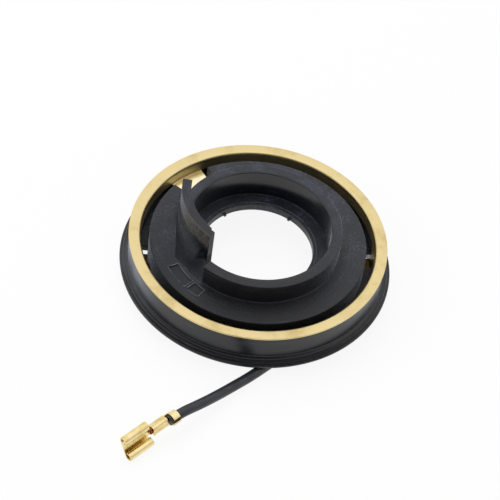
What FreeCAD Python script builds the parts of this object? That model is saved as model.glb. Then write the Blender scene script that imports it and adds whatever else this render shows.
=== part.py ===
import FreeCAD, Part
import math
import os
import re

import Sketcher
from FreeCAD import Placement, Rotation, Vector

# Indicator cancelling cam for a steering column: a moulded body whose blade resets the switch,
# a pressed brass slip ring for the horn contact, and the ring's lead with its spade terminal.
# Millimetres. The origin is the centre of the spigot's rest face, +Z runs up the steering axis,
# and angles are counted from +X towards +Y.

doc = FreeCAD.newDocument("cancelling_cam")
sheet = doc.addObject("Spreadsheet::Sheet", "sizes")

sizes = {
    # slip ring, pressed from sheet
    "ring_outer_radius": 36.0,
    "ring_face_width": 3.4,
    "ring_sheet": 0.5,
    "ring_bend_radius": 0.9,
    "ring_wall_depth": 4.0,
    "ring_fit_gap": 0.05,
    "tab_place": 191.4,
    "tab_span": 7.0,
    "tab_count": 2,
    "tab_step": 177.9,
    "tab_hook_length": 3.2,
    "tongue_place": 135.5,
    "tongue_span": 18.0,
    "tongue_length": 8.1,
    # rim of the body, heights counted from the rest face or down from the contact face
    "spigot_height": 3.3,
    "spigot_inset": 3.1,
    "spigot_chamfer": 0.4,
    "rim_height": 10.1,
    "lip_width": 0.8,
    "lip_thickness": 1.1,
    "lip_round": 0.4,
    "step_width": 1.45,
    "step_height": 0.6,
    "ring_overhang": 0.45,
    "skirt_draft": 0.2,
    "skirt_fillet": 0.9,
    "rim_top_chamfer": 0.25,
    # groove, floor and lead channel
    "groove_depth": 7.2,
    "web_thickness": 2.0,
    "groove_width": 2.36,
    "floor_drop": 0.6,
    "floor_thickness": 2.0,
    "floor_edge_round": 0.3,
    "channel_wall": 1.84,
    # collar and its inner ledge
    "collar_outer_radius": 22.75,
    "collar_wall": 2.99,
    "collar_rise": 5.47,
    "collar_foot_fillet": 0.35,
    "collar_edge_round": 0.2,
    "ledge_drop": 3.24,
    "ledge_thickness": 2.16,
    "ledge_width": 4.16,
    # pocket beside the blade
    "pocket_clearance": 0.38,
    "pocket_wall": 3.1,
    "pocket_depth": 7.2,
    "pocket_start": 159.0,
    "pocket_root_angle": 190.0,
    "pocket_root_reach": 1.25,
    "pocket_root_y": 9.0,
    "pocket_corner_inset": 1.0,
    "pocket_corner_y": -11.4,
    "pocket_join": 222.0,
    "pocket_end": 234.0,
    "pocket_margin": 4.0,
    "pocket_edge_chamfer": 0.4,
    # blade, an arc round its own centre
    "blade_centre_x": -0.33,
    "blade_centre_y": 11.97,
    "blade_outer_radius": 23.07,
    "blade_thickness": 2.6,
    "blade_root_angle": 177.8,
    "blade_span": 58.2,
    "blade_tip_step": 0.5,
    "blade_tip_span": 4.5,
    # notch over the tongue, slots over the tabs, nibs in the hole, shallow insets in the floor
    "notch_place": 137.0,
    "notch_span": 23.0,
    "notch_gap": 0.3,
    "slot_span": 12.0,
    "nib_first_place": 60.7,
    "nib_step": 72.0,
    "nib_count": 2,
    "nib_span": 2.6,
    "nib_reach": 0.5,
    "nib_height": 0.8,
    "inset_clearance": 1.75,
    "inset_width": 3.2,
    "inset_depth": 0.25,
    "inset_long_place": 221.5,
    "inset_long_span": 17.0,
    "inset_short_place": 236.0,
    "inset_short_span": 8.5,
    # lead and its conductor
    "wire_radius": 1.4,
    "strand_radius": 0.6,
    "lead_start_place": 117.0,
    "lead_step": 15.0,
    "bared_turn": 8.0,
    "soldered_turn": 5.0,
    "channel_side_gap": 0.2,
    "channel_wire_gap": 0.1,
    "exit_slot_width": 3.8,
    "solder_top_radius": 1.5,
    "solder_low_radius": 1.1,
    "solder_height": 1.7,
    # spade terminal, lengths along its own axis from the middle of the insulation grip
    "brass_sheet": 0.4,
    "grip_gap": 0.07,
    "grip_length": 2.1,
    "grip_reach": 0.8,
    "grip_slit": 0.9,
    "strip_width": 2.2,
    "crimp_start": 2.3,
    "crimp_length": 4.9,
    "crimp_width": 2.7,
    "crimp_height": 2.2,
    "crimp_lobe_radius": 0.8,
    "crimp_hole_gap": 0.03,
    "strand_drop": 0.72,
    "strand_end": 7.7,
    "insulation_end": 1.9,
    "last_bend": 2.1,
    "socket_start": 8.3,
    "socket_length": 7.9,
    "socket_width": 7.5,
    "curl_radius": 1.25,
    "tab_thickness": 0.8,
}

# the lead's route outside the body, and the slope that brings it down out of its channel
lead_exit = (7.4, -34.75, 1.45)
exit_heading = -130.0
lead_descent = [
    (26.5, -2.0, 8.7),
    (25.3, -8.6, 6.0),
    (22.9, -13.5, 3.9),
    (20.3, -17.9, 2.5),
    (16.5, -23.2, 1.7),
    (12.6, -28.55, 1.45),
]
lead_route = [
    lead_exit,
    (3.864, -38.966, 1.45),
    (-0.9, -44.25, 2.0),
    (-5.3, -49.35, 2.9),
    (-9.6, -53.95, 3.9),
]
# the terminal's grip on the lead, and its yaw, pitch and roll: it lies on one curled edge
terminal_place = (-14.4, -58.95, 4.55)
terminal_turn = (-130.3, 2.5, -64.0)

for row, (alias, value) in enumerate(sizes.items(), start=1):
    sheet.set("A%d" % row, alias.replace("_", " "))
    sheet.set("B%d" % row, str(value))
    sheet.setAlias("B%d" % row, alias)
doc.recompute()

# how near two lengths have to be to count as the same, and how much of a run a bend takes
closeness = 1e-4
bend_share = 0.45

# heights above the rest face that several pieces share
face_height = "(spigot_height + rim_height)"
floor_height = "(%s - floor_drop)" % face_height
ceiling_height = "(%s - floor_thickness)" % floor_height
groove_height = "(%s - groove_depth)" % face_height
web_height = "(%s - web_thickness)" % groove_height
ledge_height = "(%s - ledge_drop)" % face_height
collar_height = "(%s + collar_rise)" % face_height
seat_height = "(%s - ring_sheet)" % face_height
ring_wall_foot = "(%s - ring_wall_depth)" % face_height

# radii that follow from each other, from the ring inwards and outwards
ring_inner = "(ring_outer_radius - ring_face_width)"
ring_wall = "(%s + ring_sheet)" % ring_inner
body_bore = "(%s + ring_fit_gap)" % ring_wall
skirt_top = "(ring_outer_radius - ring_overhang)"
skirt_root = "(%s + skirt_draft)" % skirt_top
step_edge = "(%s + step_width)" % skirt_root
lip_edge = "(%s + lip_width)" % step_edge
spigot_side = "(%s - spigot_inset)" % lip_edge
floor_edge = "(%s - groove_width)" % ring_inner
channel_side = "(%s - channel_wall)" % floor_edge
collar_inner = "(collar_outer_radius - collar_wall)"
hub_hole = "(%s - ledge_width)" % collar_inner
pocket_side = "(collar_outer_radius + pocket_clearance)"
pocket_root_x = "-(collar_outer_radius + pocket_root_reach)"
pocket_corner_x = "-(collar_outer_radius - pocket_corner_inset)"
tongue_end = "(%s - tongue_length)" % ring_inner
inset_inner = "(collar_outer_radius + inset_clearance)"


def words(text):
    # aliases are the only words with an underscore, so each gets its sheet's name
    return re.sub(r"[a-z]+(?:_[a-z]+)+", lambda found: "sizes." + found.group(0), text)


def bind(thing, place, text):
    thing.setExpression(place, words(text))


def size(alias):
    return float(getattr(sheet, alias))


def originPlane(body, role):
    return [plane for plane in body.Origin.OriginFeatures if plane.Role == role][0]


def newSketch(body, name, role):
    sketch = body.newObject("Sketcher::SketchObject", name)
    sketch.AttachmentSupport = [(originPlane(body, role), "")]
    sketch.MapMode = "FlatFace"
    return sketch


def placePoint(sketch, line, end, across, up):
    # each corner is tied to the sketch's origin by its two distances
    spot = sketch.getPoint(line, end)
    for kind, text, value in (("DistanceX", across, spot.x), ("DistanceY", up, spot.y)):
        if text == "0":
            axis = -2 if kind == "DistanceX" else -1
            sketch.addConstraint(Sketcher.Constraint("PointOnObject", line, end, axis))
            continue
        index = sketch.addConstraint(Sketcher.Constraint(kind, -1, 1, line, end, value))
        bind(sketch, "Constraints[%d]" % index, text)


def outline(body, name, corners):
    # closed straight outline in the radius and height plane, each corner's radius and height first
    sketch = newSketch(body, name, "XZ_Plane")
    count = len(corners)
    turn = 2 * math.pi / count
    loose = [Vector(4 + math.cos(turn * k), 4 + math.sin(turn * k), 0) for k in range(count)]
    lines = [Part.LineSegment(loose[k], loose[(k + 1) % count]) for k in range(count)]
    sketch.addGeometry(lines, False)
    for k in range(count):
        sketch.addConstraint(Sketcher.Constraint("Coincident", k, 2, (k + 1) % count, 1))
    for k, corner in enumerate(corners):
        placePoint(sketch, k, 1, corner[0], corner[1])
    return sketch


def turned(body, kind, name, corners, place=None, span=None):
    # a full ring, or a sector of one when its middle angle and span are given
    sketch = outline(body, name + "_outline", corners)
    feature = body.newObject("PartDesign::" + kind, name)
    feature.Profile = sketch
    feature.ReferenceAxis = (sketch, ["V_Axis"])
    if place is not None:
        sketch.AttachmentOffset = Placement(Vector(), Rotation(Vector(0, 1, 0), 10))
        bind(sketch, "AttachmentOffset.Rotation.Angle", place)
        feature.Midplane = True
        bind(feature, "Angle", span)
    doc.recompute()
    return feature


def isCircle(edge, radius, height):
    if not isinstance(edge.Curve, Part.Circle):
        return False
    same_radius = abs(edge.Curve.Radius - radius) < closeness
    return same_radius and abs(edge.Curve.Center.z - height) < closeness


def circlesAt(shape, sketch, corners):
    # names of the circular edges that the outline's corners sweep
    spots = [sketch.getPoint(corner, 1) for corner in corners]
    names = []
    for k, edge in enumerate(shape.Edges, start=1):
        if any(isCircle(edge, spot.x, spot.y) for spot in spots):
            names.append("Edge%d" % k)
    return names


def turnedRounded(body, name, corners, rounds):
    # a full ring whose corners are rounded by the size that each one names in its third place
    feature = turned(body, "Revolution", name, corners)
    sketch = feature.Profile[0]
    for size_name in rounds:
        fillet = body.newObject("PartDesign::Fillet", re.sub("[^a-z]+", "_", size_name))
        marked = [k for k, corner in enumerate(corners) if corner[2] == size_name]
        fillet.Base = (feature, circlesAt(feature.Shape, sketch, marked))
        bind(fillet, "Radius", size_name)
        doc.recompute()
        feature = fillet


def flatCircle(radius, centre=Vector()):
    return Part.Circle(centre, Vector(0, 0, 1), radius)


def polar(radius, angle, centre=Vector()):
    return centre + Vector(radius * math.cos(angle), radius * math.sin(angle), 0)


def arcBetween(circle, first, last):
    return Part.ArcOfCircle(circle, circle.parameter(first), circle.parameter(last))


# moulded body: rim, groove, floor, lead channel, collar and ledge in one turned section

cam = doc.addObject("PartDesign::Body", "cam_body")
cam.Label = "cam_body"

section = [
    (body_bore, "0", None),
    (spigot_side + " - spigot_chamfer", "0", None),
    (spigot_side, "spigot_chamfer", None),
    (spigot_side, "spigot_height", None),
    (lip_edge, "spigot_height", "lip_round"),
    (lip_edge, "spigot_height + lip_thickness", "lip_round"),
    (step_edge, "spigot_height + lip_thickness", None),
    (step_edge, "spigot_height + lip_thickness + step_height", "lip_round"),
    (skirt_root, "spigot_height + lip_thickness + step_height", "skirt_fillet"),
    (skirt_top, seat_height + " - rim_top_chamfer", None),
    (skirt_top + " - rim_top_chamfer", seat_height, None),
    (body_bore + " + ring_bend_radius - ring_sheet", seat_height, None),
    (body_bore, seat_height + " - ring_bend_radius + ring_sheet", None),
    (body_bore, groove_height, None),
    (floor_edge, groove_height, None),
    (floor_edge, floor_height, "floor_edge_round"),
    ("collar_outer_radius", floor_height, None),
    ("collar_outer_radius", collar_height, "collar_edge_round"),
    (collar_inner, collar_height, "collar_edge_round"),
    (collar_inner, ledge_height, None),
    (hub_hole, ledge_height, "collar_edge_round"),
    (hub_hole, ledge_height + " - ledge_thickness", None),
    (collar_inner, ledge_height + " - ledge_thickness", None),
    (collar_inner, web_height, None),
    ("collar_outer_radius", web_height, None),
    ("collar_outer_radius", ceiling_height, None),
    (channel_side, ceiling_height, None),
    (channel_side, web_height, None),
    (body_bore, web_height, None),
]
rounds = ("skirt_fillet", "lip_round", "floor_edge_round", "collar_edge_round")
turnedRounded(cam, "turned_body", section, rounds)

# block that closes the hub under the pocket and between the pocket and the lead channel
pocket_block = [
    (hub_hole, web_height),
    (pocket_side + " + pocket_wall", web_height),
    (pocket_side + " + pocket_wall", ceiling_height + " + floor_thickness / 2"),
    (collar_inner + " + collar_wall / 6", ceiling_height + " + floor_thickness / 2"),
    (collar_inner + " + collar_wall / 6", ledge_height),
    (hub_hole, ledge_height),
]
block_place = "(pocket_start + pocket_end + pocket_margin) / 2"
block_span = "pocket_end + pocket_margin - pocket_start"
turned(cam, "Revolution", "pocket_block", pocket_block, block_place, block_span)

# pocket that the switch's follower drops into, open through the collar down to its own floor
centre = Vector(size("blade_centre_x"), size("blade_centre_y"), 0)
outer_radius = size("blade_outer_radius")
blade_middle = outer_radius - size("blade_thickness") / 2
rim_radius = size("collar_outer_radius") + size("pocket_clearance")
blade_circle = flatCircle(blade_middle, centre)
rim_circle = flatCircle(rim_radius)
root_turn, join_turn, end_turn = [
    math.radians(size(name)) for name in ("pocket_root_angle", "pocket_join", "pocket_end")]
root_spot = Vector(-size("collar_outer_radius") - size("pocket_root_reach"), size("pocket_root_y"), 0)
corner_spot = Vector(size("pocket_corner_inset") - size("collar_outer_radius"), size("pocket_corner_y"), 0)
under_blade = polar(blade_middle, root_turn, centre)
join_spot = polar(rim_radius, join_turn)
end_spot = polar(rim_radius, end_turn)
end_line = Part.LineSegment(Vector(), end_spot)
crossings = [Vector(spot.X, spot.Y, 0) for spot in blade_circle.intersect(end_line)]
inner_spot = min(crossings, key=lambda spot: (spot - end_spot).Length)

pocket_plan = newSketch(cam, "pocket_plan", "XY_Plane")
bind(pocket_plan, "AttachmentOffset.Base.z", collar_height)
pocket_plan.addGeometry([
    Part.LineSegment(root_spot, corner_spot),
    Part.LineSegment(corner_spot, join_spot),
    arcBetween(rim_circle, join_spot, end_spot),
    Part.LineSegment(end_spot, inner_spot),
    arcBetween(blade_circle, under_blade, inner_spot),
    Part.LineSegment(under_blade, root_spot),
], False)
for first, first_end, second, second_end in ((0, 2, 1, 1), (1, 2, 2, 1), (2, 2, 3, 1), (3, 2, 4, 2),
                                             (4, 1, 5, 1), (5, 2, 0, 1), (2, 3, -1, 1)):
    pocket_plan.addConstraint(Sketcher.Constraint("Coincident", first, first_end, second, second_end))
pocket_plan.addConstraint(Sketcher.Constraint("PointOnObject", -1, 1, 3))
middle_text = "(blade_outer_radius - blade_thickness / 2)"
for kind, items, text, value in (
    ("Radius", [2], pocket_side, rim_radius),
    ("Radius", [4], middle_text, blade_middle),
    ("DistanceX", [-1, 1, 4, 3], "blade_centre_x", centre.x),
    ("DistanceY", [-1, 1, 4, 3], "blade_centre_y", centre.y),
    ("DistanceX", [-1, 1, 0, 1], pocket_root_x, root_spot.x),
    ("DistanceY", [-1, 1, 0, 1], "pocket_root_y", root_spot.y),
    ("DistanceY", [-1, 1, 4, 1], "blade_centre_y + %s * sin(pocket_root_angle)" % middle_text,
     under_blade.y),
    ("DistanceX", [-1, 1, 0, 2], pocket_corner_x, corner_spot.x),
    ("DistanceY", [-1, 1, 0, 2], "pocket_corner_y", corner_spot.y),
    ("DistanceY", [-1, 1, 2, 1], pocket_side + " * sin(pocket_join)", join_spot.y),
    ("DistanceX", [-1, 1, 2, 2], pocket_side + " * cos(pocket_end)", end_spot.x),
):
    index = pocket_plan.addConstraint(Sketcher.Constraint(kind, *items, value))
    bind(pocket_plan, "Constraints[%d]" % index, text)
doc.recompute()
pocket = cam.newObject("PartDesign::Pocket", "pocket")
pocket.Profile = pocket_plan
bind(pocket, "Length", "collar_rise + pocket_depth")
doc.recompute()

# blade: an arc-shaped wall, its root end standing on the floor and its stepped tip inside the hole
blade_plan = newSketch(cam, "blade_plan", "XY_Plane")
blade_plan.AttachmentOffset = Placement(Vector(), Rotation(Vector(0, 0, 1), 10))
bind(blade_plan, "AttachmentOffset.Base.x", "blade_centre_x")
bind(blade_plan, "AttachmentOffset.Base.y", "blade_centre_y")
bind(blade_plan, "AttachmentOffset.Base.z", web_height)
bind(blade_plan, "AttachmentOffset.Rotation.Angle", "blade_root_angle")

outer_text = "blade_outer_radius"
inner_text = "(blade_outer_radius - blade_thickness)"
tip_text = "(blade_outer_radius - blade_thickness + blade_tip_step)"
whole_text = "blade_span"
step_text = "(blade_span - blade_tip_span)"
inner_radius = outer_radius - size("blade_thickness")
tip_radius = inner_radius + size("blade_tip_step")
whole = math.radians(size("blade_span"))
stepped = math.radians(size("blade_span") - size("blade_tip_span"))

blade_plan.addGeometry([
    Part.ArcOfCircle(flatCircle(outer_radius), 0, whole),
    Part.LineSegment(polar(outer_radius, whole), polar(tip_radius, whole)),
    Part.ArcOfCircle(flatCircle(tip_radius), stepped, whole),
    Part.LineSegment(polar(tip_radius, stepped), polar(inner_radius, stepped)),
    Part.ArcOfCircle(flatCircle(inner_radius), 0, stepped),
    Part.LineSegment(polar(inner_radius, 0), polar(outer_radius, 0)),
], False)
for first, first_end, second, second_end in ((0, 2, 1, 1), (1, 2, 2, 2), (2, 1, 3, 1), (3, 2, 4, 2),
                                             (4, 1, 5, 1), (5, 2, 0, 1)):
    blade_plan.addConstraint(Sketcher.Constraint("Coincident", first, first_end, second, second_end))
for arc, text, value in ((0, outer_text, outer_radius), (2, tip_text, tip_radius),
                         (4, inner_text, inner_radius)):
    blade_plan.addConstraint(Sketcher.Constraint("Coincident", arc, 3, -1, 1))
    index = blade_plan.addConstraint(Sketcher.Constraint("Radius", arc, value))
    bind(blade_plan, "Constraints[%d]" % index, text)
for arc, end, radius_text, angle_text in ((0, 2, outer_text, whole_text), (2, 2, tip_text, whole_text),
                                          (2, 1, tip_text, step_text), (4, 2, inner_text, step_text)):
    height = blade_plan.getPoint(arc, end).y
    index = blade_plan.addConstraint(Sketcher.Constraint("DistanceY", -1, 1, arc, end, height))
    bind(blade_plan, "Constraints[%d]" % index, "%s * sin(%s)" % (radius_text, angle_text))
for arc in (0, 4):
    blade_plan.addConstraint(Sketcher.Constraint("PointOnObject", arc, 1, -1))
blade = cam.newObject("PartDesign::Pad", "blade")
blade.Profile = blade_plan
bind(blade, "Length", "%s - %s" % (collar_height, web_height))
doc.recompute()


# small fillet round what is left of the collar's foot
floor_level = size("spigot_height") + size("rim_height") - size("floor_drop")
foot_edges = ["Edge%d" % k for k, edge in enumerate(blade.Shape.Edges, start=1)
              if isCircle(edge, size("collar_outer_radius"), floor_level)]
foot = cam.newObject("PartDesign::Fillet", "collar_foot_fillet")
foot.Base = (blade, foot_edges)
bind(foot, "Radius", "collar_foot_fillet")
doc.recompute()

# chamfer on the floor's edge above the pocket
edge_bevel = [
    (pocket_side, floor_height + " - pocket_edge_chamfer"),
    (pocket_side + " + 2 * pocket_edge_chamfer", floor_height + " + pocket_edge_chamfer"),
    (pocket_side, floor_height + " + pocket_edge_chamfer"),
]
turned(cam, "Groove", "pocket_edge", edge_bevel, "(pocket_join + pocket_end) / 2",
       "pocket_end - pocket_join")

# notch that shows the ring's tongue
notch = [
    (pocket_side + " + notch_gap", ring_wall_foot + " - ring_sheet - notch_gap"),
    (floor_edge + " + notch_gap", ring_wall_foot + " - ring_sheet - notch_gap"),
    (floor_edge + " + notch_gap", floor_height + " + notch_gap"),
    (pocket_side + " + notch_gap", floor_height + " + notch_gap"),
]
turned(cam, "Groove", "notch", notch, "notch_place", "notch_span")

# slots that let the ring's tabs through the web
slot = [
    (floor_edge, web_height + " - notch_gap"),
    (body_bore, web_height + " - notch_gap"),
    (body_bore, groove_height + " + notch_gap"),
    (floor_edge, groove_height + " + notch_gap"),
]
tab_slot = turned(cam, "Groove", "tab_slot", slot, "tab_place", "slot_span")


def repeated(body, name, feature, count, step):
    # copies round the steering axis, a step apart
    pattern = body.newObject("PartDesign::PolarPattern", name)
    pattern.Originals = [feature]
    pattern.Axis = (feature.Profile[0], ["V_Axis"])
    pattern.Mode = "Spacing"
    bind(pattern, "Occurrences", count)
    bind(pattern, "Offset", step)
    body.Tip = pattern
    doc.recompute()
    return pattern


repeated(cam, "tab_slots", tab_slot, "tab_count", "tab_step")

# nibs at the foot of the hub hole
nib = [
    (hub_hole + " - nib_reach", ledge_height + " - ledge_thickness"),
    (hub_hole + " + nib_reach", ledge_height + " - ledge_thickness"),
    (hub_hole + " + nib_reach", ledge_height + " - ledge_thickness + nib_height"),
    (hub_hole + " - nib_reach", ledge_height + " - ledge_thickness + nib_height"),
]
first_nib = turned(cam, "Revolution", "nib", nib, "nib_first_place", "nib_span")
repeated(cam, "nibs", first_nib, "nib_count", "nib_step")

# shallow insets left in the floor by the mould
inset = [
    (inset_inner, floor_height + " - inset_depth"),
    (inset_inner + " + inset_width", floor_height + " - inset_depth"),
    (inset_inner + " + inset_width", floor_height + " + inset_depth"),
    (inset_inner, floor_height + " + inset_depth"),
]
for kind in ("long", "short"):
    turned(cam, "Groove", kind + "_inset", inset, "inset_%s_place" % kind, "inset_%s_span" % kind)

# slot under the lip where the lead leaves the spigot, cut along the lead's own line
exit_slot = newSketch(cam, "exit_slot_plan", "XY_Plane")
exit_slot.AttachmentOffset = Placement(Vector(*lead_exit), Rotation(Vector(0, 0, 1), exit_heading))
bind(exit_slot, "AttachmentOffset.Base.z", "spigot_height")
reach = size("exit_slot_width")
corners = [Vector(-2 * reach, -reach / 2, 0), Vector(reach, -reach / 2, 0),
           Vector(reach, reach / 2, 0), Vector(-2 * reach, reach / 2, 0)]
exit_slot.addGeometry([Part.LineSegment(corners[k], corners[(k + 1) % 4]) for k in range(4)], False)
for k in range(4):
    exit_slot.addConstraint(Sketcher.Constraint("Coincident", k, 2, (k + 1) % 4, 1))
for side in (0, 2):
    exit_slot.addConstraint(Sketcher.Constraint("Horizontal", side))
exit_slot.addConstraint(Sketcher.Constraint("Vertical", 1))
exit_slot.addConstraint(Sketcher.Constraint("Symmetric", 0, 1, 2, 2, -1))
for kind, items, text in (
    ("DistanceY", (1, 1, 1, 2), "exit_slot_width"),
    ("DistanceX", (-1, 1, 0, 2), "exit_slot_width"),
    ("DistanceX", (0, 1, -1, 1), "2 * exit_slot_width"),
):
    index = exit_slot.addConstraint(Sketcher.Constraint(kind, *items, 1.0))
    bind(exit_slot, "Constraints[%d]" % index, text)
exit_cut = cam.newObject("PartDesign::Pocket", "exit_slot")
exit_cut.Profile = exit_slot
bind(exit_cut, "Length", "spigot_height")
doc.recompute()

# slip ring: flat contact face turned down into an inner wall, with hooked tabs and a lead tongue

ring = doc.addObject("PartDesign::Body", "slip_ring")
ring.Label = "slip_ring"
ring_section = [
    (ring_inner, face_height, "ring_bend_radius"),
    ("ring_outer_radius", face_height, None),
    ("ring_outer_radius", seat_height, None),
    (ring_wall, seat_height, "ring_bend_radius - ring_sheet"),
    (ring_wall, ring_wall_foot, None),
    (ring_inner, ring_wall_foot, None),
]
turnedRounded(ring, "turned_ring", ring_section, ("ring_bend_radius", "ring_bend_radius - ring_sheet"))

hook_height = "(%s - ring_fit_gap)" % web_height
hook_end = "(%s - tab_hook_length)" % ring_wall
hooked_tab = [
    (ring_inner, ring_wall_foot),
    (ring_wall, ring_wall_foot),
    (ring_wall, hook_height + " - ring_sheet"),
    (hook_end, hook_height + " - ring_sheet"),
    (hook_end, hook_height),
    (ring_inner, hook_height),
]
tab = turned(ring, "Revolution", "hooked_tab", hooked_tab, "tab_place", "tab_span")
repeated(ring, "hooked_tabs", tab, "tab_count", "tab_step")

tongue = [
    (tongue_end, ring_wall_foot),
    (ring_wall, ring_wall_foot),
    (ring_wall, ring_wall_foot + " - ring_sheet"),
    (tongue_end, ring_wall_foot + " - ring_sheet"),
]
turned(ring, "Revolution", "tongue", tongue, "tongue_place", "tongue_span")

# lead: tubes of straight runs joined by tangent arcs


def tubePath(points):
    edges = []
    radii = []
    at = points[0]
    for before, corner, after in zip(points, points[1:], points[2:]):
        back = (before - corner).normalize()
        ahead = (after - corner).normalize()
        reach = bend_share * min((before - corner).Length, (after - corner).Length)
        half_turn = (math.pi - back.getAngle(ahead)) / 2
        radius = reach / math.tan(half_turn)
        radii.append(radius)
        first = corner + back * reach
        last = corner + ahead * reach
        inward = (back + ahead).normalize()
        middle = corner + inward * (radius / math.cos(half_turn) - radius)
        edges.append(Part.LineSegment(at, first).toShape())
        edges.append(Part.Arc(first, middle, last).toShape())
        at = last
    edges.append(Part.LineSegment(at, points[-1]).toShape())
    return Part.Wire(edges), radii


def addTube(name, points, radius):
    path, radii = tubePath(points)
    heading = points[1] - points[0]
    profile = Part.Wire([Part.Circle(points[0], heading, radius).toShape()])
    shape = path.makePipeShell([profile], True, False)
    tube = doc.addObject("Part::Feature", name)
    tube.Label = name
    tube.Shape = shape
    expected = math.pi * radius ** 2 * path.Length
    print("%s: length %.1f, volume share %.4f, radii %s" % (
        name, path.Length, shape.Volume / expected, " ".join("%.1f" % value for value in radii)))
    return tube


def onCircle(radius, angle, height):
    turn = math.radians(angle)
    return Vector(radius * math.cos(turn), radius * math.sin(turn), height)


wire = size("wire_radius")
ceiling = size("spigot_height") + size("rim_height") - size("floor_drop") - size("floor_thickness")
floor_radius = size("ring_outer_radius") - size("ring_face_width") - size("groove_width")
held_radius = floor_radius - size("channel_wall") - size("channel_side_gap") - wire
held_height = ceiling - size("channel_wire_gap") - wire
lead_start_angle = size("lead_start_place")
channel_angles = [lead_start_angle - size("lead_step") * k for k in range(8)]
held_points = [onCircle(held_radius, angle, held_height) for angle in channel_angles]
held_points += [Vector(*point) for point in lead_descent]
held_points.append(Vector(*lead_exit))
addTube("lead_under_body", held_points, wire)
terminal_frame = Placement(Vector(*terminal_place), Rotation(*terminal_turn))
tail_points = [Vector(*point) for point in lead_route]
tail_points += [terminal_frame.multVec(Vector(along, 0, 0))
                for along in (-size("last_bend"), size("insulation_end"))]
addTube("lead_tail", tail_points, wire)

# conductor end under the tongue, and the solder round it
strand = size("strand_radius")
tongue_foot = size("spigot_height") + size("rim_height") - size("ring_wall_depth") - size("ring_sheet")
strand_height = tongue_foot - strand - size("ring_fit_gap")
bare_start = held_points[0]
inner_strand_points = [
    bare_start,
    bare_start + (bare_start - held_points[1]).normalize() * 2 * strand,
]
inner_strand_points += [
    onCircle(held_radius, lead_start_angle + size("bared_turn") + size("soldered_turn") * k, strand_height)
    for k in range(3)]
inner_strands = addTube("inner_strands", inner_strand_points, strand)
solder_blob = doc.addObject("Part::Cone", "solder_blob")
bind(solder_blob, "Radius1", "solder_low_radius")
bind(solder_blob, "Radius2", "solder_top_radius")
bind(solder_blob, "Height", "solder_height")
solder_blob.Placement = Placement(Vector(*onCircle(held_radius, size("tongue_place"), 0)), Rotation())
bind(solder_blob, "Placement.Base.z", "%s - ring_sheet - solder_height" % ring_wall_foot)
solder = doc.addObject("Part::Cut", "solder_joint")
solder.Label = "solder_joint"
solder.Base = solder_blob
solder.Tool = inner_strands

# spade terminal, built along its own +X from the middle of the grip, then laid at the lead's end

base_height = "(-wire_radius - grip_gap - brass_sheet)"
lobe_side = "(crimp_width / 2 - crimp_lobe_radius)"
lobe_height = "(%s + crimp_height - crimp_lobe_radius)" % base_height
curl_height = "(%s + curl_radius)" % base_height
curl_side = "(socket_width / 2 - curl_radius)"


def rod(name, radius, start, length, side="0", height="0"):
    piece = doc.addObject("Part::Cylinder", name)
    piece.Placement = Placement(Vector(), Rotation(Vector(0, 1, 0), 90))
    bind(piece, "Radius", radius)
    bind(piece, "Height", length)
    for axis, text in (("x", start), ("y", side), ("z", height)):
        bind(piece, "Placement.Base." + axis, text)
    return piece


def block(name, start, length, side, width, height, rise):
    piece = doc.addObject("Part::Box", name)
    for place, text in (("Length", length), ("Width", width), ("Height", rise), ("Placement.Base.x", start),
                        ("Placement.Base.y", side), ("Placement.Base.z", height)):
        bind(piece, place, text)
    return piece


def joined(name, pieces):
    fuse = doc.addObject("Part::MultiFuse", name)
    fuse.Shapes = pieces
    fuse.Refine = True
    return fuse


def cut(name, base, tool):
    piece = doc.addObject("Part::Cut", name)
    piece.Base = base
    piece.Tool = tool
    return piece


grip_start = "-grip_reach"
grip_bore = "(wire_radius + grip_gap)"
grip = rod("grip_band", grip_bore + " + brass_sheet", grip_start, "grip_length")
grip_hollow = joined("grip_hollow", [
    rod("grip_hole", grip_bore, "-grip_length", "2 * grip_length"),
    block("grip_slit_cut", "-grip_length", "2 * grip_length", "-grip_slit / 2", "grip_slit",
          "wire_radius / 2", "2 * wire_radius"),
])
crimp = joined("crimp_outside", [
    block("crimp_heart", "crimp_start", "crimp_length", "-crimp_width / 2", "crimp_width",
          base_height, "crimp_height - crimp_lobe_radius"),
    rod("crimp_lobe_near", "crimp_lobe_radius", "crimp_start", "crimp_length", lobe_side, lobe_height),
    rod("crimp_lobe_far", "crimp_lobe_radius", "crimp_start", "crimp_length", "-" + lobe_side, lobe_height),
])
crimp_hole = rod("crimp_hole", "strand_radius + crimp_hole_gap", "crimp_start - crimp_length",
                 "3 * crimp_length", "0", "-strand_drop")
strip = block("strip", "0", "socket_start + brass_sheet", "-strip_width / 2", "strip_width",
              base_height, "brass_sheet")
plate = block("socket_plate", "socket_start", "socket_length", "-" + curl_side, "2 * " + curl_side,
              base_height, "brass_sheet")
curls = [rod("curl_" + name, "curl_radius", "socket_start", "socket_length", sign + curl_side, curl_height)
         for name, sign in (("near", ""), ("far", "-"))]
curl_holes = [rod("curl_hole_" + name, "curl_radius - brass_sheet", "socket_start - socket_length",
                  "3 * socket_length", sign + curl_side, curl_height)
              for name, sign in (("near", ""), ("far", "-"))]
tab_way = block("tab_way", "socket_start - socket_length", "3 * socket_length", "-" + curl_side,
                "2 * " + curl_side, base_height + " + brass_sheet", "tab_thickness")
banded = cut("grip", grip, grip_hollow)
crimped = cut("crimp", crimp, crimp_hole)
rolled = cut("socket", joined("socket_outside", [plate] + curls),
             joined("socket_hollow", curl_holes + [tab_way]))
terminal = joined("spade_terminal", [banded, crimped, strip, rolled])
terminal.Label = "spade_terminal"
terminal.Placement = terminal_frame
addTube("outer_strands", [terminal_frame.multVec(Vector(along, 0, -size("strand_drop")))
                          for along in (size("insulation_end"), size("strand_end"))], strand)
doc.recompute()

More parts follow.
